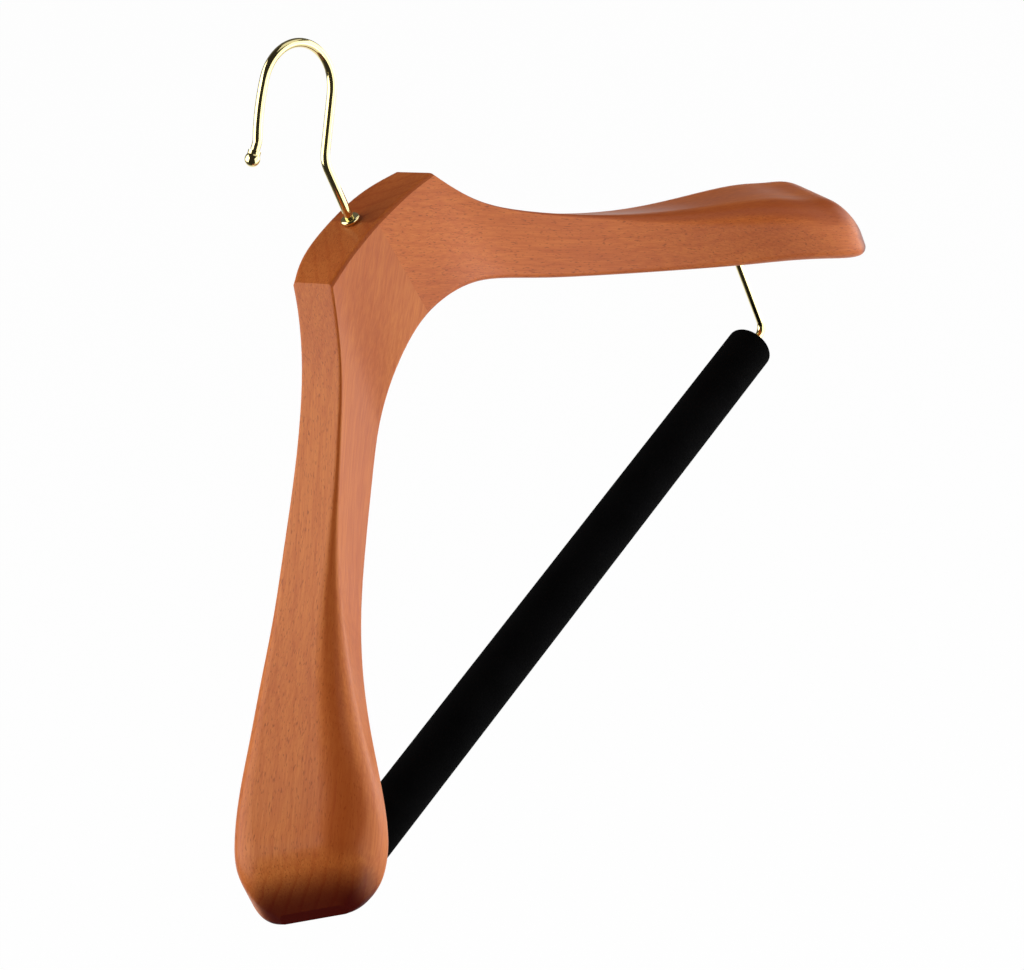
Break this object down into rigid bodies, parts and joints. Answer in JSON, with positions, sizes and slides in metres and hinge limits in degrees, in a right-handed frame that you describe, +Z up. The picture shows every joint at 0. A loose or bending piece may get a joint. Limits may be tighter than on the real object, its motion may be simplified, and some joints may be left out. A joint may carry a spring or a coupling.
{
  "type": "suit hanger",
  "caption": "Wooden suit hanger with contoured, flared shoulders, a swivelling brass hook with a ball tip and a round felted trouser bar carried by bent brass wires.",
  "frame": {"origin": "where the hook hangs on its rail: the inside top of the crown, straight above the swivel axis", "axes": "+X along the right arm, +Y to the back, where the collar lies, +Z up; the arms bow to -Y"},
  "size_m": [0.4626, 0.0955, 0.2818],
  "materials": {
    "stained_beech": "satin lacquer over an orange cherry stain",
    "plain_beech": "bare",
    "polished_brass": "polished",
    "black_felt": "short velvet pile"
  },
  "bodies": {
    "hook": {"hook_wire": "polished_brass", "hook_tip_ball": "polished_brass"},
    "hanger_body": {"arm_right": "stained_beech", "arm_left": "stained_beech", "mitre_dowels": "plain_beech", "hook_bush": "polished_brass", "hook_washer": "polished_brass", "rod_right": "polished_brass", "rod_left": "polished_brass"},
    "trouser_bar": {"bar_core": "plain_beech", "bar_felt": "black_felt"}
  },
  "joints": [
    {"name": "hook_swivel", "type": "hinge", "parent": "hook", "child": "hanger_body", "pos_m": [0, 0, -0.0794], "axis": [0, 0, 1], "continuous": true},
    {"name": "bar_roll", "type": "hinge", "parent": "hanger_body", "child": "trouser_bar", "pos_m": [0, -0.034, -0.2672], "axis": [1, 0, 0], "continuous": true}
  ]
}
